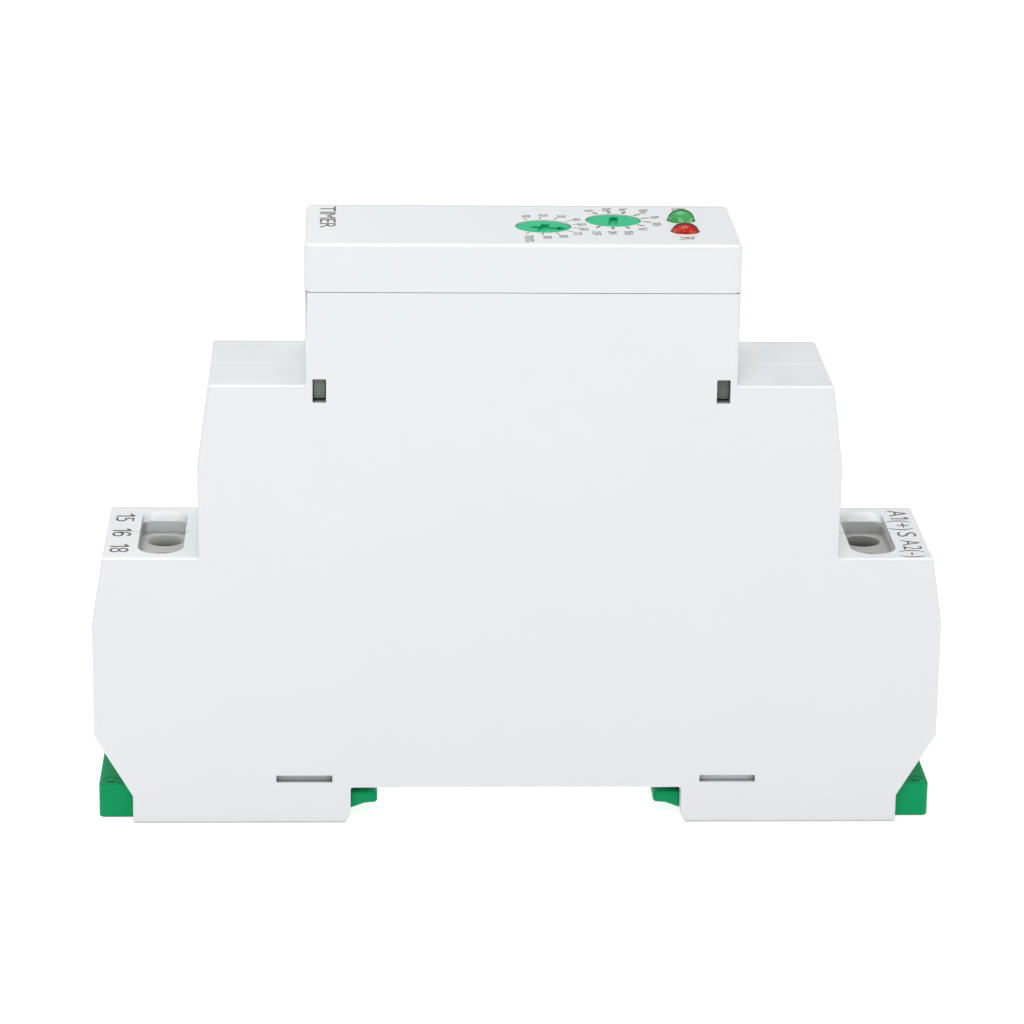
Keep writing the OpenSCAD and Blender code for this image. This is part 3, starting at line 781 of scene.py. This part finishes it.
def window_tool(side_x, side_y, x0, x1, z0, z1, depth):
    """Pocket in a side face, with slightly rounded corners and rim."""
    centre = (side_x * (x0 + x1) / 2, (z0 + z1) / 2)
    half_x, half_z = (x1 - x0) / 2 + SKIN, (z1 - z0) / 2 + SKIN
    face, flare = HALF_THICKNESS - SKIN, 0.07
    stations = [  # y, growth
        (face - depth, 0.0), (face - flare, 0.0), (face - flare * 0.55, flare * 0.12),
        (face - flare * 0.2, flare * 0.42), (face + 0.002, flare * 0.9),
        (face + 0.6, flare * 0.9),
    ]
    loops = []
    for y, growth in stations:
        loop = rounded_rect(half_x, half_z, 0.12, side_y * y, 4, centre, -growth)
        loops.append([(x, along_y, z) for x, z, along_y in loop])
    return solid(loops)


def housing_half(side_y, node, name):
    outline = RIGHT_OUTLINE + [(-x, z) for x, z in reversed(RIGHT_OUTLINE)]
    outline = fillet_poly(offset_poly(outline, -SKIN), [0.32] * len(outline), 4)
    # y and fillet radius at the side face and at the joint between the halves
    ends = [(side_y * (HALF_THICKNESS - SKIN), 0.30), (side_y * 0.012, 0.08)]
    shell = rounded_prism(outline, *sorted(ends), steps=5)
    boolean(shell, cad_copy(node), "INTERSECT")
    for side_x in (-1, 1):
        boolean(shell, well_tool(side_x))
        boolean(shell, driver_tool(side_x * TERMINAL_X, side_y * TERMINAL_Y))
        boolean(shell, wire_tool(side_x, side_y * TERMINAL_Y))
        for window in SIDE_WINDOWS:
            boolean(shell, window_tool(side_x, side_y, *window))
    if side_y < 0:
        # pegs that reach into the far half
        for x in (-28, 28):
            for z in (39, 7):
                peg = lathe([(1.0, -2.0), (1.0, 2.7), (0.7, 3.0)], 32)
                boolean(shell, place(peg, (x, 0, z), -90, "X"), "UNION")
    finish(shell, name, "housing", "housing_plastic", node)


housing_half(-1, "housing_near_half", "near_housing_shell")
housing_half(1, "housing_far_half", "far_housing_shell")


# ---------------------------------------------------------------- front cap
DIAL_HOLE, LAMP_HOLE = 2.925, 1.51  # radii
LATCH_TOP_Z = 52.4  # faces of the cap below this are latch legs


def front_cap():
    top = FACE_Z - SKIN
    rims = foot_rim(SEAM_Z + 0.04 + SKIN, 0.04, 3) + top_rim(top, 0.42, 6)
    cap = solid([rounded_rect(22.56, 8.99, 0.9, z, 8, inset=inset) for z, inset in rims])
    boolean(cap, cuboid((-21.9, -8.5, 42.0), (21.9, 8.5, 55.6)), "UNION")
    boolean(cap, cad_copy("front_cap"), "INTERSECT")
    holes = [(*TIME_DIAL[:2], DIAL_HOLE), (*RANGE_DIAL[:2], DIAL_HOLE),
             (*GREEN_LAMP, LAMP_HOLE), (*RED_LAMP, LAMP_HOLE)]
    for x, y, radius in holes:
        radius += 0.005
        profile = [(radius, 57.4)] + mouth(radius, top - 0.05, 0.05, 0.0512, range(0, 81, 16))
        profile.append((profile[-1][0], 61))
        boolean(cap, lathe(profile, 72, (x, y, 0)))
    finish(cap, "front_cap_moulding", "housing", "housing_plastic", "front_cap",
           extra=("latch_plastic",))
    # faces below LATCH_TOP_Z take the latch material, which paints them in shade
    for face in cap.data.polygons:
        if face.center.z < LATCH_TOP_Z / 1000:
            face.material_index = 1


front_cap()

# ---------------------------------------------------------------- dials
# (x, y) outlines of the screwdriver recesses, pointing along +X
CROSS_RECESS = [
    (-1.2, -0.42), (-0.42, -0.42), (-0.42, -1.55), (0.42, -1.55), (0.42, -0.42), (1.55, -0.42),
    (1.55, -0.8), (2.5, -0.04), (2.5, 0.04), (1.55, 0.8), (1.55, 0.42), (0.42, 0.42),
    (0.42, 1.55), (-0.42, 1.55), (-0.42, 0.42), (-1.2, 0.42),
]
SLOT_RECESS = [(-1.45, -0.43), (1.75, -0.43), (2.17, -0.04), (2.17, 0.04), (1.75, 0.43),
               (-1.45, 0.43)]


def dial(where, name, node, recess):
    """Shaft, flange under the face plate, and a head with a recess along its pointer."""
    x, y, turn = where
    top, head_radius = FACE_Z - 0.15, 2.90
    recess_floor = top - 0.4
    profile = [(0.0, 52.3), (1.4, 52.3), (1.5, 52.4), (1.5, 57.3), (3.27, 57.3), (3.35, 57.38),
               (3.35, 58.02), (3.27, 58.1), (head_radius, 58.1)]
    profile += [(head_radius - inset, z) for z, inset in top_rim(top, 0.12, 4)]
    profile.append((0.0, top))
    ob = lathe(profile, 96)
    stations = [(recess_floor, -0.05), (recess_floor + 0.08, 0.0), (top - 0.08, 0.0),
                (top - 0.03, 0.02), (top + 0.002, 0.07), (top + 0.5, 0.07)]
    boolean(ob, solid([[(*point, z) for point in offset_poly(recess, growth)]
                       for z, growth in stations]))
    place(ob, (x, y, 0), turn)
    finish(ob, name, node, "dial_plastic", node)


dial(TIME_DIAL, "time_setting_dial", "time_dial", CROSS_RECESS)
dial(RANGE_DIAL, "range_setting_dial", "range_dial", SLOT_RECESS)


# ---------------------------------------------------------------- lamps
def lamp(where, name, node, material, radius, height):
    """Flange and barrel under the face plate, and a dome above it."""
    profile = [(0.0, 54.4), (1.7, 54.4), (1.8, 54.5), (1.8, 55.1), (1.72, 55.2), (1.495, 55.2),
               (1.495, FACE_Z - 0.05), (1.47, FACE_Z - 0.02), (radius, FACE_Z - 0.01)]
    profile += [(radius * math.cos(math.radians(a)), FACE_Z + height * math.sin(math.radians(a)))
                for a in range(3, 88, 6)]
    profile.append((0.0, FACE_Z + height))
    ob = lathe(profile, 64, (*where, 0))
    finish(ob, name, "housing", material, node, sharp_angle=40)


lamp(GREEN_LAMP, "green_lamp_lens", "power_led", "green_lens", radius=1.44, height=1.14)
lamp(RED_LAMP, "red_lamp_lens", "relay_led", "red_lens", radius=1.41, height=0.84)

# ---------------------------------------------------------------- rail clips and their springs
SPRING_Z = 1.3
CLIP_HALF_WIDTH = 7.29
# (x, z) and fillet radius of the sliding plate of the +X clip
CLIP_PLATE = [
    ((15.07, -1.06), 0.15), ((14.86, -1.26), 0.15), ((14.86, -2.05), 0.15),
    ((15.1, -2.3), 0.2), ((16.2, -2.38), 0.3), ((17.8, -2.98), 0.3),
    ((42.0, -2.98), 0), ((42.0, -1.05), 0),
]
# (x, z) of what is cut from the inner side of the end tab
TAB_CUT = [(36, -6), (41.06, -6), (41.07, -1.0), (41.61, -0.12), (41.87, 0.3), (36, 0.3)]


def clip_tab(ring_y):
    """End tab: rounded corners and rims, and a ring groove near one corner."""
    inner_x, outer_x, top = 38.0, 44.69, -0.13
    half_x, centre = (outer_x - inner_x) / 2, ((inner_x + outer_x) / 2, 0)
    tab = solid([rounded_rect(half_x, CLIP_HALF_WIDTH, 0.62, z, 10, centre, inset)
                 for z, inset in foot_rim(-3.94, 0.15, 4) + top_rim(top, 0.24, 5)])
    boolean(tab, solid([[(x, y, z) for x, z in TAB_CUT] for y in (-8, 8)]))
    at = (43.45, ring_y, 0)
    ring = lathe([(0.70, top - 0.10), (0.80, top - 0.09), (0.90, top + 0.02),
                  (0.90, top + 0.3)], 40, at)
    boolean(ring, lathe([(0.44, -1), (0.44, top - 0.04), (0.36, top + 0.6)], 32, at))
    boolean(tab, ring)
    return tab


def clip(side_x, name, body, node):
    """Modelled at +X; the -X clip is turned half round."""
    points, radii = zip(*CLIP_PLATE)
    ob = rounded_prism(fillet_poly(points, radii, 3), (-CLIP_HALF_WIDTH, 0.22),
                       (CLIP_HALF_WIDTH, 0.22), steps=4)
    boolean(ob, clip_tab(-6.0 * side_x), "UNION")
    # lug with the peg that carries the spring
    lug = cuboid((25.2, -2.6, -1.4), (27.0, 2.6, 3.0), bevel=0.15)
    peg = lathe([(0.85, 26.5), (0.85, 29.05), (0.7, 29.2)], 32, (0, 0, SPRING_Z), lean=90)
    boolean(lug, peg, "UNION")
    boolean(ob, lug, "UNION")
    boolean(ob, cuboid((28.1, -1.5, -5), (33.0, 1.5, -0.5)))
    if side_x < 0:
        place(ob, turn=180)
    finish(ob, name, body, "clip_plastic", node)


clip(1, "right_rail_clip", "right_clip", "clip_right")
clip(-1, "left_rail_clip", "left_clip", "clip_left")


def spring(side_x, name, node):
    """Coil spring along X, with closed end turns and open ones between."""
    start_x, length, travel = 27.04, 8.92, 3.2
    radius, wire, turns = 1.45, 0.22, 6
    closed = 0.8  # turns at each end
    closed_pitch = 0.75 * 2 * wire
    open_length = length - 2 * wire - closed_pitch * 2 * closed
    steps, around = turns * 36, 12
    loops = []
    for i in range(steps + 1):
        turn = turns * i / steps
        closed_turns = min(turn, closed) + max(0.0, turn - (turns - closed))
        open_share = max(0.0, min(1.0, (turn - closed) / (turns - 2 * closed)))
        x = start_x + wire + closed_pitch * closed_turns + open_share * open_length
        angle = 2 * math.pi * turn
        outward = Vector((0, math.cos(angle), math.sin(angle)))
        centre = Vector((x, 0, SPRING_Z)) + outward * radius
        loop = []
        for k in range(around):
            w = 2 * math.pi * k / around
            loop.append(centre + outward * wire * math.cos(w)
                        + Vector((1, 0, 0)) * wire * math.sin(w))
        loops.append(loop)
    ob = solid(loops)
    if side_x < 0:
        place(ob, turn=180)
    finish(ob, name, "housing", "spring_steel", node, weighted=False)
    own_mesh(ob)


spring(1, "right_clip_coil_spring", "clip_spring_right")
spring(-1, "left_clip_coil_spring", "clip_spring_left")

# ---------------------------------------------------------------- terminals
# side in x, side in y, name, turn of the screw in degrees
TERMINALS = [(-1, -1, "left_near", 20), (-1, 1, "left_far", 75),
             (1, -1, "right_near", -35), (1, 1, "right_far", 55)]


def clamp_screw(side_x, side_y, corner, turn):
    top, shank, head = WELL_Z - 1.2, 1.25, 1.75
    profile = [(0.0, 14.45), (0.95, 14.45), (shank, 14.8)]
    # thread as fine grooves on the shank
    z = 15.0
    while z < 20.4:
        profile += [(shank, z), (1.12, z + 0.12), (1.12, z + 0.2), (shank, z + 0.33)]
        z += 0.45
    profile += [(shank, top - 1.6), (1.62, top - 1.6), (head, top - 1.47), (head, top - 0.3)]
    profile += [(head - 0.25 * (1 - math.cos(math.radians(a))),
                 top - 0.3 + 0.3 * math.sin(math.radians(a))) for a in (30, 60, 90)]
    profile.append((0.0, top))
    ob = lathe(profile, 48)
    # cross slot, longer one way
    boolean(ob, cuboid((-2.2, -0.3, top - 0.9), (2.2, 0.3, top + 1)))
    boolean(ob, cuboid((-0.32, -1.15, top - 0.85), (0.32, 1.15, top + 1)))
    place(ob, (side_x * TERMINAL_X, side_y * TERMINAL_Y, 0), turn)
    finish(ob, f"{corner}_clamp_screw", f"screw_{corner}", "screw_steel",
           f"terminal_screw_{corner}")


def clamp_cage(side_x, side_y, corner):
    """Steel cage with rounded bends, open along Y, with the screw hole in its top."""
    foot, top = 9.2, 9.2 + 8.8
    outline = [(-2.3, foot), (2.3, foot), (2.3, top), (-2.3, top)]
    ob = rounded_prism(outline, (-2.4, 0.35), (2.4, 0.35), steps=5)
    boolean(ob, cuboid((-3, -1.75, foot + 1), (3, 1.75, top - 1.6), bevel=0.18))
    boolean(ob, lathe([(1.30, foot + 4), (1.30, top - 0.15), (1.5, top + 0.05),
                       (1.5, top + 2)], 48))
    # grooves across the lower bar
    for x in (-1.4, -0.5, 0.4, 1.3):
        groove = lathe([(0.16, -1.6), (0.16, 1.6)], 12)
        boolean(ob, place(groove, (x, 0, foot + 1.02), 90, "X"))
    place(ob, (side_x * TERMINAL_X, side_y * TERMINAL_Y, 0))
    finish(ob, f"{corner}_rising_cage", f"cage_{corner}", "tinned_steel",
           f"clamp_cage_{corner}")


for terminal in TERMINALS:
    clamp_screw(*terminal)
for terminal in TERMINALS:
    clamp_cage(*terminal[:3])

# ---------------------------------------------------------------- print
INK_SINK, INK_THICKNESS = 0.004, 0.016  # depth under the surface, whole thickness


def stroke(bm, path, width):
    """Flat stroke along an open path."""
    left, right = [], []
    for i, point in enumerate(path):
        before = Vector(path[max(0, i - 1)])
        after = Vector(path[min(len(path) - 1, i + 1)])
        along = (after - before).normalized()
        across = Vector((-along.y, along.x)) * width / 2
        left.append((*(Vector(point) + across), 0))
        right.append((*(Vector(point) - across), 0))
    a = [bm.verts.new(point) for point in left]
    b = [bm.verts.new(point) for point in right]
    for i in range(len(a) - 1):
        bm.faces.new((a[i], b[i], b[i + 1], a[i + 1]))


def drawn_glyph(char, width):
    """Digit 1, 6 or 9 as strokes in a cell 0.5 wide and 0.7 high."""
    bm = bmesh.new()
    if char == "1":
        left, right = 0.30 - width / 2, 0.30 + width / 2
        outline = [(left, 0), (right, 0), (right, 0.7), (left + 0.01, 0.7), (0.10, 0.575),
                   (0.10, 0.48), (left, 0.565)]
        bm.faces.new([bm.verts.new((*point, 0)) for point in outline])
    else:
        centre_x, centre_y = 0.25, 0.215
        radius_x, radius_y = 0.235 - width / 2, 0.215 - width / 2
        turns = [2 * math.pi * k / 28 for k in range(29)]
        stroke(bm, [(centre_x + radius_x * math.cos(w), centre_y + radius_y * math.sin(w))
                    for w in turns], width)
        # stem: from the left of the bowl up and over to the open end
        left = centre_x - radius_x
        stem = [(left - 0.001, centre_y + 0.03)]
        stem += [(0.27 + (0.27 - left) * math.cos(math.radians(a)),
                  0.40 + (0.3 - width / 2) * math.sin(math.radians(a)))
                 for a in range(180, 34, -12)]
        stroke(bm, stem, width)
    if char == "9":
        for vert in bm.verts:
            vert.co.x, vert.co.y = 0.5 - vert.co.x, 0.7 - vert.co.y
        bmesh.ops.reverse_faces(bm, faces=bm.faces)
    return to_mesh(bm)


def font_glyph(char, weight):
    curve = bpy.data.curves.new("glyph", "FONT")
    curve.body = char
    curve.size = 1
    curve.offset = weight
    curve.resolution_u = 4
    ob = add_object(curve)
    bpy.context.view_layer.update()
    depsgraph = bpy.context.evaluated_depsgraph_get()
    mesh = bpy.data.meshes.new_from_object(ob.evaluated_get(depsgraph))
    bpy.data.objects.remove(ob)
    bpy.data.curves.remove(curve)
    return mesh


def font_digit_height():
    mesh = font_glyph("5", 0.0)
    heights = [vert.co.y for vert in mesh.vertices]
    bpy.data.meshes.remove(mesh)
    return max(heights) - min(heights)


DIGIT_HEIGHT = font_digit_height()


def label(text, x0, x1, y, width, z, weight):
    """Pieces of a text that stands towards +X and reads towards -Y.

    A digit reaches from x0 to x1; the text is centred on y and `width` long.
    """
    glyphs, pen = [], 0.0
    for char in text:
        drawn = char in "169"
        mesh = drawn_glyph(char, 0.105 + 2 * weight) if drawn else font_glyph(char, weight)
        scale = DIGIT_HEIGHT / 0.7 if drawn else 1.0
        across = [vert.co.x for vert in mesh.vertices]
        low, high = min(across) * scale, max(across) * scale
        glyphs.append((mesh, pen - low, scale))
        gap = 0.15 if char == "1" and len(text) > 3 else 0.085
        pen += high - low + gap
    total = pen - 0.085
    text_scale = (x1 - x0) / DIGIT_HEIGHT
    pieces = []
    for mesh, shift, scale in glyphs:
        bm = bmesh.new()
        bm.from_mesh(mesh)
        bpy.data.meshes.remove(mesh)
        bmesh.ops.remove_doubles(bm, verts=bm.verts, dist=1e-5)
        for vert in bm.verts:
            across = (vert.co.x * scale + shift - total / 2) * (width / total)
            upward = vert.co.y * scale * text_scale
            vert.co = Vector((x0 + upward, y - across, z - INK_SINK))
        extruded = bmesh.ops.extrude_face_region(bm, geom=list(bm.faces))["geom"]
        raised = [part for part in extruded if isinstance(part, bmesh.types.BMVert)]
        bmesh.ops.translate(bm, verts=raised, vec=(0, 0, INK_THICKNESS))
        pieces.append(to_object(bm))
    return pieces


def tick(centre, degrees, start, end, width):
    """Radial scale mark on the front face."""
    angle = math.radians(degrees)
    along = Vector((math.cos(angle), math.sin(angle)))
    side = Vector((-along.y, along.x)) * width / 2
    near, far = Vector(centre) + along * start, Vector(centre) + along * end
    loop = [near - side, far - side, far + side, near + side]
    low = PRINT_FACE_Z - INK_SINK
    return solid([[(*point, z) for point in loop] for z in (low, low + INK_THICKNESS)])


def print_piece(name, pieces, material="print_ink"):
    finish(join(name, pieces), name, "housing", material, weighted=False)


def print_labels(name, rows, z, material="print_ink"):
    """Rows of text, x0, x1, y, width, weight."""
    pieces = []
    for *where, weight in rows:
        pieces += label(*where, z, weight)
    print_piece(name, pieces, material)


def print_scale(name, where, numbers, below, above, tick_angles, tick_end, tick_width):
    """Numbers as (text, x, y, width), each from x - below to x + above, then the ticks."""
    pieces = []
    for text, x, y, width in numbers:
        pieces += label(text, x - below, x + above, y - 0.1, width, PRINT_FACE_Z, 0.004)
    pieces += [tick(where[:2], angle, 3.12, tick_end, tick_width) for angle in tick_angles]
    print_piece(name, pieces, "print_ink_fine")


PRINT_SHOULDER_Z = SHOULDER_Z - SKIN
PRINT_FACE_Z = FACE_Z - SKIN

print_labels("print_left_terminals", [
    ("15", -43.07, -41.03, 4.95, 2.58, -0.007),
    ("16", -43.17, -41.12, -0.25, 2.67, -0.007),
    ("18", -43.16, -41.12, -5.65, 2.67, -0.007),
], PRINT_SHOULDER_Z)
print_labels("print_right_terminals", [
    ("A1(+)", 41.0, 43.04, 4.22, 6.85, -0.006),
    ("S", 41.03, 43.07, -0.75, 1.55, -0.006),
    ("A2(-)", 41.08, 43.12, -5.62, 5.8, -0.006),
], PRINT_SHOULDER_Z)
print_scale("print_time_scale", TIME_DIAL, [
    ("10", 0.7, 3.66, 1.12), ("20", 2.54, 4.14, 1.12), ("30", 4.43, 3.65, 1.12),
    ("40", 5.93, 2.3, 1.12), ("50", 6.43, 0.09, 1.12), ("60", 6.53, -2.08, 1.12),
    ("70", 5.74, -3.95, 1.12), ("80", 4.25, -5.2, 1.12), ("90", 2.55, -5.67, 1.12),
    ("100%", 0.65, -6.3, 2.9),
], below=0.45, above=0.49,
    tick_angles=(120, 93.3, 66.7, 40, 13.3, -13.3, -40, -66.7, -93.3, -120),
    tick_end=3.92, tick_width=0.16)
print_scale("print_range_scale", RANGE_DIAL, [
    ("1s", 7.51, 6.34, 0.96), ("10s", 9.4, 6.81, 1.54), ("1m", 11.19, 6.81, 1.3),
    ("10m", 13.29, 6.13, 1.92), ("1h", 14.29, 3.44, 1.06), ("10h", 14.29, 0.26, 1.64),
    ("1d", 12.7, -1.85, 1.06), ("10d", 11.11, -3.58, 1.64), ("ON", 9.42, -3.48, 1.44),
    ("OFF", 7.73, -3.76, 1.83),
], below=0.43, above=0.51,
    tick_angles=(119.4, 93.97, 68.4, 42.3, 15.6, -12.3, -39.9, -68.2, -93.9, -119.5),
    tick_end=4.0, tick_width=0.34)
print_labels("print_lamp_names", [
    ("Un", 16.38, 17.9, 6.4, 2.12, 0.002),
    ("R", 16.32, 17.82, -6.1, 1.25, 0.002),
], PRINT_FACE_Z, "print_ink_fine")
print_labels("print_title", [("TIMER", -21.0, -19.33, 2.9, 9.6, 0.0)], PRINT_FACE_Z)


# ---------------------------------------------------------------- studio, metres
def studio_floor():
    bm = bmesh.new()
    bmesh.ops.create_grid(bm, x_segments=1, y_segments=1, size=6.0)
    floor = to_object(bm, "studio_floor")
    floor.location = (0, 0, FOOT_Z / 1000)
    s = Shader("studio_floor")
    floor.data.materials.append(s.surface({
        "Base Color": s.mix(s.noise(scale=6.0), (0.38, 0.38, 0.38), (0.42, 0.42, 0.42)),
        "Roughness": 0.9,
        "Specular IOR Level": 0.0,
        "Emission Color": (1, 1, 1),
        "Emission Strength": 0.82,
    }))


def white_world(strength):
    world = bpy.data.worlds.new("studio")
    bpy.context.scene.world = world
    world.use_nodes = True
    background = world.node_tree.nodes["Background"]
    background.inputs["Color"].default_value = (1.0, 1.0, 1.0, 1)
    background.inputs["Strength"].default_value = strength


def softbox(name, location, size, power):
    """Square area light aimed at the middle of the relay."""
    light = bpy.data.lights.new(name, "AREA")
    light.shape = "RECTANGLE"
    light.size = size
    light.size_y = size
    light.energy = power
    ob = add_object(light, name)
    ob.location = location
    aim = Vector((0, 0, 0.03)) - Vector(location)
    ob.rotation_euler = aim.to_track_quat("-Z", "Y").to_euler()


def add_camera(location, yaw, pitch, roll, lens_mm):
    """Looks along +Y, turned by yaw, tipped down by pitch and rolled, in degrees."""
    data = bpy.data.cameras.new("camera")
    camera = add_object(data, "camera")
    camera.matrix_world = (
        Matrix.Translation(location)
        @ Matrix.Rotation(math.radians(yaw), 4, "Z")
        @ Matrix.Rotation(math.radians(90 - pitch), 4, "X")
        @ Matrix.Rotation(math.radians(roll), 4, "Z")
    )
    data.sensor_width = 36
    data.sensor_fit = "HORIZONTAL"
    data.lens = lens_mm
    data.clip_start = 0.01
    data.clip_end = 50
    bpy.context.scene.camera = camera


studio_floor()
white_world(strength=0.46)
softbox("key_softbox", (-0.20, -0.75, 0.78), size=0.38, power=3.0)
softbox("fill_softbox", (0.50, -0.40, 0.70), size=0.6, power=0.9)
softbox("top_softbox", (-0.05, 0.25, 0.95), size=0.6, power=4.4)
add_camera((-0.01785, -0.40235, 0.15623), yaw=-2.4735, pitch=17.636, roll=0.8054,
           lens_mm=138.60703)

view = bpy.context.scene.view_settings
view.view_transform = "Standard"
view.look = "None"
view.exposure = 0.0
view.gamma = 1.0
